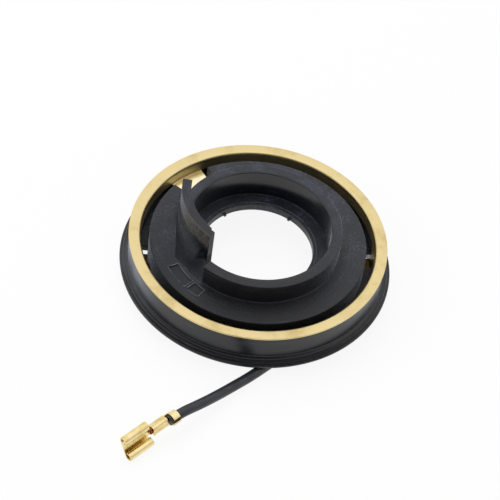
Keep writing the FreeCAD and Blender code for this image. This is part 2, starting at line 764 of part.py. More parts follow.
# every object has to be sound before any file is written
for thing in doc.Objects:
    if "Invalid" in thing.State or "Error" in thing.State:
        raise RuntimeError("%s is %s" % (thing.Name, thing.State))
os.makedirs("parts", exist_ok=True)
for label in ("cam_body", "slip_ring", "lead_under_body", "lead_tail", "inner_strands", "solder_joint",
              "outer_strands", "spade_terminal"):
    thing = doc.getObjectsByLabel(label)[0]
    if thing.Shape.isNull() or not thing.Shape.isValid():
        raise RuntimeError("%s has no sound shape" % label)
    box = thing.Shape.BoundBox
    print("%s: solids %d, volume %.1f, z %.2f to %.2f" % (
        label, len(thing.Shape.Solids), thing.Shape.Volume, box.ZMin, box.ZMax))
    thing.Shape.exportStep("parts/%s.step" % label)
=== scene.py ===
import math

import bmesh
import bpy
from mathutils import Euler, Matrix, Vector


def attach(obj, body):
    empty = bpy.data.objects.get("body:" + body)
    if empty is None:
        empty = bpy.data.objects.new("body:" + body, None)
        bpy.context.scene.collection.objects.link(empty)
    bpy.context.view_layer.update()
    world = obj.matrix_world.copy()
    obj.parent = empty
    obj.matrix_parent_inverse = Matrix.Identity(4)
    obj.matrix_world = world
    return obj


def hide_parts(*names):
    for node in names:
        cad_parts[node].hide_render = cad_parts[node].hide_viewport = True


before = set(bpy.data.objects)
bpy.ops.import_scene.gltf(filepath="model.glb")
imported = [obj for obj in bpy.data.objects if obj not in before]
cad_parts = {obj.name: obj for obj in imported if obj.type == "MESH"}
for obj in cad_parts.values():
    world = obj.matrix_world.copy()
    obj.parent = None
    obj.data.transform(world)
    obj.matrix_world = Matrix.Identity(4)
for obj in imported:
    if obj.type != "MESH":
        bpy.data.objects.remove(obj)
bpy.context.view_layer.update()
print("frame loaded:", len(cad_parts), "nodes")

mm = 0.001
scene = bpy.context.scene


def toLinear(hexColour):
    values = [int(hexColour[k:k + 2], 16) / 255 for k in (1, 3, 5)]
    return tuple(v / 12.92 if v <= 0.04045 else ((v + 0.055) / 1.055) ** 2.4 for v in values) + (1.0,)


def addNode(tree, kind, inputs=None, **settings):
    # an input takes a plain value, a node's output, or a node, which stands for its first output
    node = tree.nodes.new(kind)
    for name, value in settings.items():
        setattr(node, name, value)
    for name, value in (inputs or {}).items():
        if isinstance(value, bpy.types.Node):
            value = value.outputs[0]
        if isinstance(value, bpy.types.NodeSocket):
            tree.links.new(value, node.inputs[name])
        else:
            node.inputs[name].default_value = value
    return node


# camera: a long lens looks down on the ring from the side where the lead leaves
cameraSizes = {
    "aim": (0, 0, 13.4),        # middle of the slip ring's face, mm
    "distance": 568.8,          # mm
    "elevation": 47.64,         # degrees
    "roll": 8.97,
    "lens": 148.0,
    "shift": (-0.0174, -0.0239),
}


def makeCamera(s):
    lift = math.radians(s["elevation"])
    roll = math.radians(s["roll"])
    back = Vector((0, -math.cos(lift), math.sin(lift)))
    side = Vector((1, 0, 0))
    up = Vector((0, math.sin(lift), math.cos(lift)))
    camX = side * math.cos(roll) + up * math.sin(roll)
    camY = up * math.cos(roll) - side * math.sin(roll)
    spot = (Vector(s["aim"]) + back * s["distance"]) * mm
    data = bpy.data.cameras.new("camera")
    data.lens = s["lens"]
    data.sensor_width = 36
    data.shift_x, data.shift_y = s["shift"]
    data.clip_start = 0.01
    data.clip_end = 20
    camera = bpy.data.objects.new("camera", data)
    turn = Matrix((camX, camY, back)).transposed().to_4x4()
    camera.matrix_world = Matrix.Translation(spot) @ turn
    scene.collection.objects.link(camera)
    scene.camera = camera


makeCamera(cameraSizes)

# free lead: leaves the slot under the lip and ends in the receptacle's grip
leadSizes = {
    "route": [              # mm, same points as in the model
        (7.4, -34.75, 1.45),
        (3.864, -38.966, 1.45),
        (-0.9, -44.25, 2.0),
        (-5.3, -49.35, 2.9),
        (-9.6, -53.95, 3.9),
        (-13.04, -57.35, 4.64),
        (-15.63, -60.40, 4.47),
    ],
    "diameter": 2.8,
    "length": 34.7,
}


def makeLead(s):
    data = bpy.data.curves.new("lead", "CURVE")
    data.dimensions = "3D"
    data.resolution_u = 16
    data.bevel_depth = s["diameter"] / 2 * mm
    data.bevel_resolution = 8
    data.use_fill_caps = True
    spline = data.splines.new("NURBS")
    spline.points.add(len(s["route"]) - 1)
    for point, spot in zip(spline.points, s["route"]):
        point.co = (*(Vector(spot) * mm), 1)
    spline.order_u = 3
    spline.use_endpoint_u = True
    lead = bpy.data.objects.new("lead", data)
    scene.collection.objects.link(lead)
    return lead


lead = makeLead(leadSizes)
print("lead and camera placed")


def startMaterial(name, fixed, noises):
    # gives the material, its tree, the shader with its fixed values, and the fields that layers fade by: place,
    # x, y, z and radius from the steering axis in mm, and noises, each a size in mm, a detail, a roughness
    material = bpy.data.materials.new(name)
    material.use_nodes = True
    tree = material.node_tree
    tree.nodes.clear()
    shader = addNode(tree, "ShaderNodeBsdfPrincipled", fixed)
    addNode(tree, "ShaderNodeOutputMaterial", {"Surface": shader})
    onObject = addNode(tree, "ShaderNodeTexCoord").outputs["Object"]
    place = addNode(tree, "ShaderNodeVectorMath", {0: onObject, "Scale": 1 / mm}, operation="SCALE")
    fields = dict(zip("xyz", addNode(tree, "ShaderNodeSeparateXYZ", {0: place}).outputs))
    fields["place"] = place
    inPlan = addNode(tree, "ShaderNodeVectorMath", {0: place, 1: (1, 1, 0)}, operation="MULTIPLY")
    fields["radius"] = addNode(tree, "ShaderNodeVectorMath", {0: inPlan}, operation="LENGTH").outputs["Value"]
    for noise, (size, detail, roughness) in noises.items():
        fields[noise] = addNode(tree, "ShaderNodeTexNoise", {"Vector": place, "Scale": 1 / size, "Detail": detail,
                                                             "Roughness": roughness})
    return material, tree, shader, fields


def paintLayers(tree, shader, fields, base, rough, layers):
    # a layer is its name, a colour or None, its change of roughness, and the fades whose product is its mask;
    # a fade is a field, where it starts and ends and, where they aren't 0 and 1, its low and high;
    # a bare name takes that field or that earlier layer's mask as it is
    colour = toLinear(base)
    for name, tint, change, fades in layers:
        mask = None
        for fade in fades:
            if isinstance(fade, str):
                part = fields[fade]
            else:
                field, start, end, *levels = fade
                low, high = levels or (0.0, 1.0)
                part = addNode(tree, "ShaderNodeMapRange", {"Value": fields[field], "From Min": start,
                                                            "From Max": end, "To Min": low, "To Max": high},
                               interpolation_type="SMOOTHSTEP")
            if mask is None:
                mask = part
            else:
                mask = addNode(tree, "ShaderNodeMath", {0: mask, 1: part}, operation="MULTIPLY")
        fields[name] = mask
        if tint:
            mixed = addNode(tree, "ShaderNodeMix", {0: mask, 6: colour, 7: toLinear(tint)}, data_type="RGBA")
            colour = mixed.outputs[2]
        if change:
            rough = addNode(tree, "ShaderNodeMath", {0: mask, 1: change, 2: rough}, operation="MULTIPLY_ADD")
    tree.links.new(colour, shader.inputs["Base Color"])
    tree.links.new(rough.outputs[0], shader.inputs["Roughness"])


# glass-filled nylon, moulded: near black, smooth walls with a soft gloss, grained floor with pale dry scuffs
mouldingLook = {
    "base": "#101116",
    "fixed": {
        "IOR": 1.5,
        "Sheen Weight": 0.75,           # fine dust that shows where the walls turn away
        "Sheen Roughness": 0.22,
        "Sheen Tint": toLinear("#DDE4F2"),
    },
    "noises": {
        "grain": (0.45, 3.0, 0.65),     # coarser than the real grain so that it shows
        "patches": (6.0, 4.0, 0.6),
    },
    "rough": 0.3,
    "patchRough": 0.12,                 # how much the patches move the roughness
    "bladeCentre": (-0.33, 11.97, 0),
    "bladeEnd": (0.829, -0.559, 0),     # the way the blade's end faces
    "scratchStretch": (2.2, 2.4, 1.9),  # scratches per radian round the axis, per mm outwards and upwards
    "edgeWidth": 0.22,                  # mm of the pale band along an edge, partly wear and partly painted highlight
    "unevenEdge": 3.0,                  # mm that the rubbed face's lower edge wanders
    "grainHeight": 0.2,                 # mm
    "grainBump": 0.8,
    "smoothGrain": 0.05,                # share of that height left on the smooth walls
    "layers": [
        # smooth skirt and collar bore, tool's grain elsewhere
        ("skirt", None, 0, [("radius", 32.4, 33.2)]),
        ("besideBlade", None, 0, [("fromBlade", 22.87, 23.02), ("x", -3.0, -6.0)]),
        ("bore", None, -0.12, [("radius", 20.6, 20.0), ("z", 10.0, 10.6), ("besideBlade", 1.0, 0.0)]),
        ("grained", None, 0.12, [("skirt", 1.0, 0.0), ("bore", 1.0, 0.0)]),
        ("dry", None, 0.16, [("x", -8.0, -26.0), ("y", 8.0, -12.0), "grained"]),
        # bluish bloom in the grain's specks, with painted shade: it fades out towards the front, so the floor is
        # darker there and lighter towards the back
        ("bloomAndPaintedShade", "#42485A", 0, [("patches", 0.40, 0.64, 0.25, 1.0), "grained", ("y", -27.0, 26.0),
                                 ("grain", 0.46, 0.60, 0.1, 1.0)]),
        # scratches that run round the axis
        ("streaks", "#54565C", 0.25, [("scratches", 0.56, 0.70, 0.0, 0.35), ("patches", 0.42, 0.58)]),
        # where the switch's follower has worn the blade
        ("rubbed", "#6A675E", 0.25, ["besideBlade", ("radius", 24.2, 23.4), ("y", -9.5, -8.0),
                                     ("lowEdge", 14.4, 16.7), ("grain", 0.4, 0.6, 0.2, 0.95)]),
        # painted sheen: pale patches on the skirt's left front, standing in for the side light's reflection there
        ("paintedSkirtSheen", "#6F747D", 0, [("x", -23.0, -34.0), ("y", 4.0, -8.0), ("z", 3.5, 9.0),
                                ("patches", 0.3, 0.6, 0.35, 0.8), "skirt"]),
        # painted shade: the floor's insets keep the bare base colour, darker than the bloomed floor round them,
        # standing in for the shade in their recess
        ("paintedInsetShade", "#101116", 0, [("z", 12.35, 12.45), ("z", 12.75, 12.65), ("radius", 24.2, 24.4),
                                 ("radius", 28.0, 27.8)]),
        # painted shade: the blade's end face made dark brown and duller, standing in for the shadow on it
        ("paintedEndShade", "#1C1715", 0.35, [("facing", 0.96, 0.99), ("x", -10.0, -11.0), ("y", -3.0, -5.0)]),
        # pale along the edges: partly wear, partly painted highlight where the edges catch the light
        ("edgeWearAndHighlight", "#54565C", 0, [("lean", 0.995, 0.90), ("patches", 0.35, 0.6, 0.15, 0.6),
                                ("z", 5.5, 8.0, 0.1, 1.0)]),
    ],
}


def makeMoulding(s):
    material, tree, shader, fields = startMaterial("glassFilledNylon", s["fixed"], s["noises"])
    # distance from the blade's own centre tells its outer side and the hollow from the rest
    shifted = addNode(tree, "ShaderNodeVectorMath", {0: fields["place"], 1: s["bladeCentre"]},
                      operation="SUBTRACT")
    inPlan = addNode(tree, "ShaderNodeVectorMath", {0: shifted, 1: (1, 1, 0)}, operation="MULTIPLY")
    fields["fromBlade"] = addNode(tree, "ShaderNodeVectorMath", {0: inPlan}, operation="LENGTH").outputs["Value"]
    fields["lowEdge"] = addNode(tree, "ShaderNodeMath", {0: fields["patches"], 1: s["unevenEdge"],
                                                         2: fields["z"]}, operation="MULTIPLY_ADD")
    turn = addNode(tree, "ShaderNodeMath", {0: fields["y"], 1: fields["x"]}, operation="ARCTAN2")
    polar = addNode(tree, "ShaderNodeCombineXYZ", {0: turn, 1: fields["radius"], 2: fields["z"]})
    drawn = addNode(tree, "ShaderNodeVectorMath", {0: polar, 1: s["scratchStretch"]}, operation="MULTIPLY")
    fields["scratches"] = addNode(tree, "ShaderNodeTexNoise", {"Vector": drawn, "Scale": 1.0, "Detail": 4.0,
                                                               "Roughness": 0.7})
    # a rounded normal leaves the flat one along the edges
    flat = addNode(tree, "ShaderNodeNewGeometry").outputs["Normal"]
    rounded = addNode(tree, "ShaderNodeBevel", {"Radius": s["edgeWidth"] * mm}, samples=6)
    for name, direction in (("facing", s["bladeEnd"]), ("lean", rounded)):
        dot = addNode(tree, "ShaderNodeVectorMath", {0: flat, 1: direction}, operation="DOT_PRODUCT")
        fields[name] = dot.outputs["Value"]
    rough = addNode(tree, "ShaderNodeMath", {0: fields["patches"], 1: s["patchRough"],
                                             2: s["rough"] - s["patchRough"] / 2}, operation="MULTIPLY_ADD")
    paintLayers(tree, shader, fields, s["base"], rough, s["layers"])
    share = addNode(tree, "ShaderNodeMath", {0: fields["grained"], 1: 1 - s["smoothGrain"],
                                             2: s["smoothGrain"]}, operation="MULTIPLY_ADD")
    height = addNode(tree, "ShaderNodeMath", {0: fields["grain"], 1: share}, operation="MULTIPLY")
    bump = addNode(tree, "ShaderNodeBump", {"Strength": s["grainBump"], "Distance": s["grainHeight"] * mm,
                                            "Height": height, "Normal": rounded})
    tree.links.new(bump.outputs[0], shader.inputs["Normal"])
    return material


# brass sheet, pressed and dulled in service: satin, cloudy, with fine rings left by the contact
ringLook = {
    "base": "#E4D09A",
    "fixed": {"Metallic": 1.0},
    "noises": {
        "clouds": (8.0, 5.0, 0.62),
        "specks": (0.5, 2.0, 0.5),
    },
    "rough": 0.26,
    "ringSpacing": 0.3,         # mm, coarser than the real lines so that they show
    "lineHeight": 0.02,         # mm
    "lineBump": 0.14,
    "layers": [
        ("satin", None, 0.1, [("clouds", 0.35, 0.65)]),
        ("wall", None, 0.2, [("z", 12.9, 12.0)]),           # never rubbed by the contact, dull
        ("tarnish", "#C6AE72", 0, [("clouds", 0.45, 0.75, 0.0, 0.7)]),
        ("spots", "#A08A4C", 0, [("specks", 0.62, 0.72), ("clouds", 0.4, 0.6, 0.0, 0.3)]),
        ("tongue", "#FBEFC9", -0.32, [("radius", 32.4, 31.8), ("z", 8.0, 8.6)]),     # painted highlight: paler, smoother brass standing in for the bright reflection on the tongue
        ("paintedTabShade", "#5E4C28", 0, [("z", 9.0, 6.0)]),       # painted shade on the tabs, deep in the groove
    ],
}


def makeRingBrass(s):
    material, tree, shader, fields = startMaterial("pressedBrass", s["fixed"], s["noises"])
    paintLayers(tree, shader, fields, s["base"], s["rough"], s["layers"])
    across = addNode(tree, "ShaderNodeCombineXYZ", {0: fields["radius"], 2: fields["z"]})
    lines = addNode(tree, "ShaderNodeTexNoise", {"Vector": across, "Scale": 1 / s["ringSpacing"], "Detail": 2.0})
    height = addNode(tree, "ShaderNodeMath", {0: lines, 1: fields["specks"]}, operation="ADD")
    bump = addNode(tree, "ShaderNodeBump", {"Strength": s["lineBump"], "Distance": s["lineHeight"] * mm,
                                            "Height": height})
    tree.links.new(bump.outputs[0], shader.inputs["Normal"])
    return material


# simple finishes: colour, darker colour, metal or not, roughness, patch in mm
plainLooks = {
    "softVinyl": ("#2B2C33", "#1D1E23", 0.0, 0.34, 3.0),        # extruded insulation: dark, faint satin sheen
    "platedBrass": ("#F3DFA8", "#E3C983", 1.0, 0.24, 2.6),      # bright rolled strip, cloudy where handled
    "drawnCopper": ("#C8794F", "#7A3B22", 1.0, 0.3, 0.5),       # bare strands, browned between them
    "softSolder": ("#B4B5B2", "#7D7E7C", 1.0, 0.38, 0.8),       # cooled joint, dull grey
    "paleHighlightNylon": ("#5A5D66", "#16171B", 0.0, 0.45, 1.1),     # thin ridges of the moulding: pale patches are painted highlight along them
}


def makePlain(name, colour, dark, metallic, roughness, patchWidth):
    noises = {"patches": (patchWidth, 4.0, 0.6), "fine": (patchWidth / 8, 2.0, 0.5)}
    material, tree, shader, fields = startMaterial(name, {"Metallic": metallic}, noises)
    layers = [("satin", None, roughness * 0.55, [("patches", 0.35, 0.65)]),
              ("cloudy", dark, 0, [("patches", 0.4, 0.7)])]
    paintLayers(tree, shader, fields, colour, roughness * 0.75, layers)
    bump = addNode(tree, "ShaderNodeBump", {"Strength": 0.04, "Distance": 0.03 * mm, "Height": fields["fine"]})
    tree.links.new(bump.outputs[0], shader.inputs["Normal"])
    return material


finishes = {name: makePlain(name, *look) for name, look in plainLooks.items()}
finishes["moulding"] = makeMoulding(mouldingLook)
finishes["ringBrass"] = makeRingBrass(ringLook)
print("finishes made")


def newTree(name, inputs):
    tree = bpy.data.node_groups.new(name, "GeometryNodeTree")
    for label, kind in inputs.items():
        tree.interface.new_socket(label, in_out="INPUT", socket_type="NodeSocket" + kind)
    tree.interface.new_socket("Mesh", in_out="OUTPUT", socket_type="NodeSocketGeometry")
    return tree, addNode(tree, "NodeGroupInput").outputs


def closeTree(tree, source, finish):
    real = addNode(tree, "GeometryNodeRealizeInstances", {0: source})
    dressed = addNode(tree, "GeometryNodeSetMaterial", {"Geometry": real, "Material": finish})
    addNode(tree, "NodeGroupOutput", {0: dressed})


def growMesh(name, startMesh, tree, values):
    # runs the tree on the start mesh and gives the result as a plain mesh
    holder = bpy.data.objects.new(name, startMesh)
    scene.collection.objects.link(holder)
    modifier = holder.modifiers.new(name, "NODES")
    modifier.node_group = tree
    for item in tree.interface.items_tree:
        if item.in_out == "INPUT" and item.name in values:
            modifier[item.identifier] = values[item.name]
    bpy.context.view_layer.update()
    grown = bpy.data.meshes.new_from_object(holder.evaluated_get(bpy.context.evaluated_depsgraph_get()))
    bpy.data.objects.remove(holder)
    return grown


def addPiece(name, meshes, node=None, sharpAngle=35):
    # joins the meshes into one piece that rides on the body
    bm = bmesh.new()
    for mesh in meshes:
        bm.from_mesh(mesh)
    bmesh.ops.recalc_face_normals(bm, faces=bm.faces)
    for edge in bm.edges:
        edge.smooth = len(edge.link_faces) == 2 and edge.calc_face_angle() < math.radians(sharpAngle)
    for face in bm.faces:
        face.smooth = True
    whole = meshes[0].copy()
    whole.name = name
    bm.to_mesh(whole)
    bm.free()
    piece = bpy.data.objects.new(name, whole)
    scene.collection.objects.link(piece)
    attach(piece, "root")
    if node:
        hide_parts(node)
    return piece


# a closed section carried round the steering axis, once or in several copies
def makeSweepTree():
    tree, given = newTree("sectionSweep", {
        "Section": "Geometry", "Path Radius": "Float", "First Angle": "Float", "Sweep Angle": "Float",
        "Steps": "Int", "Copies": "Int", "Copy Step": "Float", "Whole Turn": "Bool", "Finish": "Material"})
    size = {"Resolution": given["Steps"], "Radius": given["Path Radius"]}
    span = {"Start Angle": given["First Angle"], "Sweep Angle": given["Sweep Angle"]}
    arc = addNode(tree, "GeometryNodeCurveArc", {**size, **span}, mode="RADIUS")
    circle = addNode(tree, "GeometryNodeCurvePrimitiveCircle", size, mode="RADIUS")
    path = addNode(tree, "GeometryNodeSwitch", {"Switch": given["Whole Turn"], "False": arc, "True": circle},
                   input_type="GEOMETRY")
    upright = addNode(tree, "GeometryNodeSetCurveNormal", {"Curve": path}, mode="Z_UP")
    profile = addNode(tree, "GeometryNodeMeshToCurve", {"Mesh": given["Section"]})
    swept = addNode(tree, "GeometryNodeCurveToMesh", {"Curve": upright, "Profile Curve": profile,
                                                      "Fill Caps": True})
    spots = addNode(tree, "GeometryNodePoints", {"Count": given["Copies"]})
    index = addNode(tree, "GeometryNodeInputIndex")
    angle = addNode(tree, "ShaderNodeMath", {0: index, 1: given["Copy Step"]}, operation="MULTIPLY")
    turn = addNode(tree, "ShaderNodeCombineXYZ", {2: angle})
    copies = addNode(tree, "GeometryNodeInstanceOnPoints", {"Points": spots, "Instance": swept, "Rotation": turn})
    closeTree(tree, copies, given["Finish"])
    return tree


def sectionMesh(corners, pathRadius, bendSteps=5):
    # corners are radius, height and rounding in mm, in order round the section
    points = []
    for before, corner, after in zip(corners[-1:] + corners[:-1], corners, corners[1:] + corners[:1]):
        spot = Vector(corner[:2])
        if not corner[2]:
            points.append(spot)
            continue
        back = (Vector(before[:2]) - spot).normalized()
        ahead = (Vector(after[:2]) - spot).normalized()
        half = back.angle(ahead) / 2
        reach = corner[2] / math.tan(half)
        middle = spot + (back + ahead).normalized() * corner[2] / math.sin(half)
        first = spot + back * reach - middle
        last = spot + ahead * reach - middle
        for k in range(bendSteps + 1):
            share = k / bendSteps
            points.append(middle + (first * (1 - share) + last * share).normalized() * corner[2])
    mesh = bpy.data.meshes.new("section")
    spots = [((point.x - pathRadius) * mm, -point.y * mm, 0) for point in points]
    mesh.from_pydata(spots, [(k, (k + 1) % len(spots)) for k in range(len(spots))], [])
    return mesh


sweepTree = makeSweepTree()


def sweep(name, corners, pathRadius, place, span, steps, finish, copies=1, copyStep=0):
    # place is the middle of the sweep, all angles in degrees; a span of 360 closes the ring
    values = {"Path Radius": pathRadius * mm, "First Angle": math.radians(place - span / 2),
              "Sweep Angle": math.radians(span), "Steps": steps, "Copies": copies,
              "Copy Step": math.radians(copyStep), "Whole Turn": span == 360, "Finish": finishes[finish]}
    return growMesh(name, sectionMesh(corners, pathRadius), sweepTree, values)


# slip ring: face turned down into a wall, two hooked tabs, and the tongue that carries the lead
ringSizes = {
    "outer": 36.0,
    "inner": 32.6,
    "sheet": 0.5,
    "faceHeight": 13.4,
    "wallFoot": 9.4,
    "bend": 0.9,
    "burr": 0.12,           # rounding of the sheared edges
    "endBurr": 0.05,        # and of the free ends' undersides
    "skin": 0.01,           # the tabs and the tongue start just inside the wall's faces
    "overlap": 1.0,         # and this far up the wall
    "tabPlace": 191.4,
    "tabSpan": 7.0,
    "tabStep": 177.9,
    "tabHeight": 4.15,
    "hookEnd": 29.9,
    "tonguePlace": 135.5,
    "tongueSpan": 18.0,
    "tongueEnd": 24.5,
    "faceSteps": 288,
    "tabSteps": 8,
    "tongueSteps": 16,
}


def makeRing(s):
    sheet, bend, burr = s["sheet"], s["bend"], s["burr"]
    inner, wall, top, foot = s["inner"], s["inner"] + s["sheet"], s["faceHeight"], s["wallFoot"]
    face = [(inner, top, bend), (s["outer"], top, burr), (s["outer"], top - sheet, burr),
            (wall, top - sheet, bend - sheet), (wall, foot, burr), (inner, foot, burr)]
    strips = []
    for height, end in ((s["tabHeight"], s["hookEnd"]), (foot, s["tongueEnd"])):
        near, far, under = inner + s["skin"], wall - s["skin"], height - sheet
        strips.append([(near, foot + s["overlap"], 0), (far, foot + s["overlap"], 0), (far, under, bend),
                       (end, under, s["endBurr"]), (end, height, burr), (near, height, bend - sheet)])
    tab, tongue = strips
    meshes = [
        sweep("ringFace", face, s["outer"], 0, 360, s["faceSteps"], "ringBrass"),
        sweep("ringTabs", tab, s["outer"], s["tabPlace"], s["tabSpan"], s["tabSteps"], "ringBrass",
              copies=2, copyStep=s["tabStep"]),
        sweep("ringTongue", tongue, s["outer"], s["tonguePlace"], s["tongueSpan"], s["tongueSteps"],
              "ringBrass"),
    ]
    addPiece("slipRing", meshes, "slip_ring")


makeRing(ringSizes)
print("slip ring made")

# bared strands between the crimp and the receptacle, twisted and a little splayed
strandSizes = {
    "count": 8,
    "radius": 0.17,
    "bundle": 0.46,
    "start": 1.9,           # mm along the receptacle's axis
    "end": 7.9,
    "drop": 0.72,
    "turns": 0.6,
    "splay": 0.9,
    "splayLate": 6.0,       # the higher, the nearer the end the strands part
    "seed": 4,
    "points": 24,           # along a strand
    "sides": 8,
    "grip": (-14.4, -58.95, 4.55),          # where the receptacle's axis starts
    "turn": (-64.0, 2.5, -130.3),           # roll, pitch and yaw in degrees
}


def makeStrandTree():
    tree, given = newTree("twistedStrands", {
        "Geometry": "Geometry", "Count": "Int", "Strand Radius": "Float", "Bundle Radius": "Float",
        "Length": "Float", "Turns": "Float", "Splay": "Float", "Splay Late": "Float", "Seed": "Int",
        "Points": "Int", "Sides": "Int", "Finish": "Material"})
    # one strand in the middle, the others in a circle round it
    index = addNode(tree, "GeometryNodeInputIndex")
    others = addNode(tree, "ShaderNodeMath", {0: given["Count"], 1: 1.0}, operation="SUBTRACT")
    share = addNode(tree, "ShaderNodeMath", {0: index, 1: others}, operation="DIVIDE")
    turn = addNode(tree, "ShaderNodeMath", {0: share, 1: 2 * math.pi}, operation="MULTIPLY")
    outside = addNode(tree, "ShaderNodeMath", {0: index, 1: 1.0}, operation="MINIMUM")
    reach = addNode(tree, "ShaderNodeMath", {0: given["Bundle Radius"], 1: outside}, operation="MULTIPLY")
    rimSpot = addNode(tree, "ShaderNodeCombineXYZ", {0: reach})
    spot = addNode(tree, "ShaderNodeVectorRotate", {"Vector": rimSpot, "Angle": turn}, rotation_type="Z_AXIS")
    spots = addNode(tree, "GeometryNodePoints", {"Count": given["Count"], "Position": spot})
    tip = addNode(tree, "ShaderNodeCombineXYZ", {2: given["Length"]})
    line = addNode(tree, "GeometryNodeCurvePrimitiveLine", {"End": tip})
    fine = addNode(tree, "GeometryNodeResampleCurve", {"Curve": line, "Count": given["Points"]})
    copies = addNode(tree, "GeometryNodeInstanceOnPoints", {"Points": spots, "Instance": fine})
    real = addNode(tree, "GeometryNodeRealizeInstances", {0: copies})
    # twist along the bundle, and a swelling towards the end that differs from strand to strand
    along = addNode(tree, "GeometryNodeSplineParameter").outputs["Factor"]
    turns = addNode(tree, "ShaderNodeMath", {0: along, 1: given["Turns"]}, operation="MULTIPLY")
    twist = addNode(tree, "ShaderNodeMath", {0: turns, 1: 2 * math.pi}, operation="MULTIPLY")
    place = addNode(tree, "GeometryNodeInputPosition")
    turned = addNode(tree, "ShaderNodeVectorRotate", {"Vector": place, "Angle": twist}, rotation_type="Z_AXIS")
    chance = addNode(tree, "FunctionNodeRandomValue", {"Seed": given["Seed"]}, data_type="FLOAT").outputs[1]
    each = addNode(tree, "GeometryNodeFieldOnDomain", {0: chance}, domain="CURVE", data_type="FLOAT")
    late = addNode(tree, "ShaderNodeMath", {0: along, 1: given["Splay Late"]}, operation="POWER")
    loose = addNode(tree, "ShaderNodeMath", {0: late, 1: each}, operation="MULTIPLY")
    swell = addNode(tree, "ShaderNodeMath", {0: loose, 1: given["Splay"], 2: 1.0}, operation="MULTIPLY_ADD")
    wide = addNode(tree, "ShaderNodeCombineXYZ", {0: swell, 1: swell, 2: 1.0})
    splayed = addNode(tree, "ShaderNodeVectorMath", {0: turned, 1: wide}, operation="MULTIPLY")
    moved = addNode(tree, "GeometryNodeSetPosition", {"Geometry": real, "Position": splayed})
    rim = addNode(tree, "GeometryNodeCurvePrimitiveCircle", {"Resolution": given["Sides"],
                                                             "Radius": given["Strand Radius"]}, mode="RADIUS")
    wires = addNode(tree, "GeometryNodeCurveToMesh", {"Curve": moved, "Profile Curve": rim, "Fill Caps": True})
    closeTree(tree, wires, given["Finish"])
    return tree


def makeStrands(s):
    values = {"Count": s["count"], "Strand Radius": s["radius"] * mm, "Bundle Radius": s["bundle"] * mm,
              "Length": (s["end"] - s["start"]) * mm, "Turns": s["turns"], "Splay": s["splay"],
              "Splay Late": s["splayLate"], "Seed": s["seed"], "Points": s["points"], "Sides": s["sides"],
              "Finish": finishes["drawnCopper"]}
    mesh = growMesh("strands", bpy.data.meshes.new("strandStart"), makeStrandTree(), values)
    # the tree grows along +Z; the receptacle's own axis is +X
    lieDown = Matrix.Rotation(math.radians(90), 4, "Y")
    toStart = Matrix.Translation(Vector((s["start"], 0, -s["drop"])) * mm)
    frameTurn = Euler([math.radians(angle) for angle in s["turn"]], "XYZ").to_matrix().to_4x4()
    mesh.transform(Matrix.Translation(Vector(s["grip"]) * mm) @ frameTurn @ toStart @ lieDown)
    return addPiece("copperStrands", [mesh], "outer_strands")


strands = makeStrands(strandSizes)
print("strands made")

# hollow beside the blade: its side falls from the blade's face, runs out into the floor at the root
# and dips below it towards the collar's end
hollowSizes = {
    "bladeCentre": (-0.33, 11.97),
    "bladeRadius": 22.8,            # just inside the face, so that no slit shows
    "bladeTurns": (187.0, 233.0, 40),
    "hubRadius": 15.6,
    "hubTurns": (204.5, 233.7, 12),
    "edge": [(-24.15, 9.6), (-23.5, 3.0), (-22.7, -4.0), (-21.95, -11.5), (-19.6, -13.9), (-17.35, -15.7),
             (-15.6, -17.25), (-13.75, -18.85)],
    "heights": [                    # share of the way, at the blade, low between, at the edge
        (0.0, 16.8, 12.7, 12.78),
        (0.3, 16.0, 11.8, 12.76),
        (0.5, 15.2, 10.2, 12.74),
        (0.67, 14.0, 8.4, 12.7),
        (0.71, 9.6, 8.0, 12.68),    # past the blade's end
        (0.85, 9.2, 7.6, 12.6),
        (1.0, 8.8, 7.8, 12.2),
    ],
    "lean": 0.1,                    # how far out the low point pulls the side
    "crowding": 1.3,                # above 1 the rows are closer together near the blade
    "foot": 6.1,
    "steps": 64,
    "across": 20,
    "sharpAngle": 50,
}


def alongPoints(points, share):
    # point at a share of the way along a list of plan points
    lengths = [(b - a).length for a, b in zip(points, points[1:])]
    left = share * sum(lengths)
    for a, b, length in zip(points, points[1:], lengths):
        if left <= length:
            return a.lerp(b, left / length)
        left -= length
    return points[-1]


def circlePoints(centre, radius, first, last, count):
    turns = [math.radians(first + (last - first) * k / (count - 1)) for k in range(count)]
    return [Vector(centre) + Vector((math.cos(turn), math.sin(turn))) * radius for turn in turns]


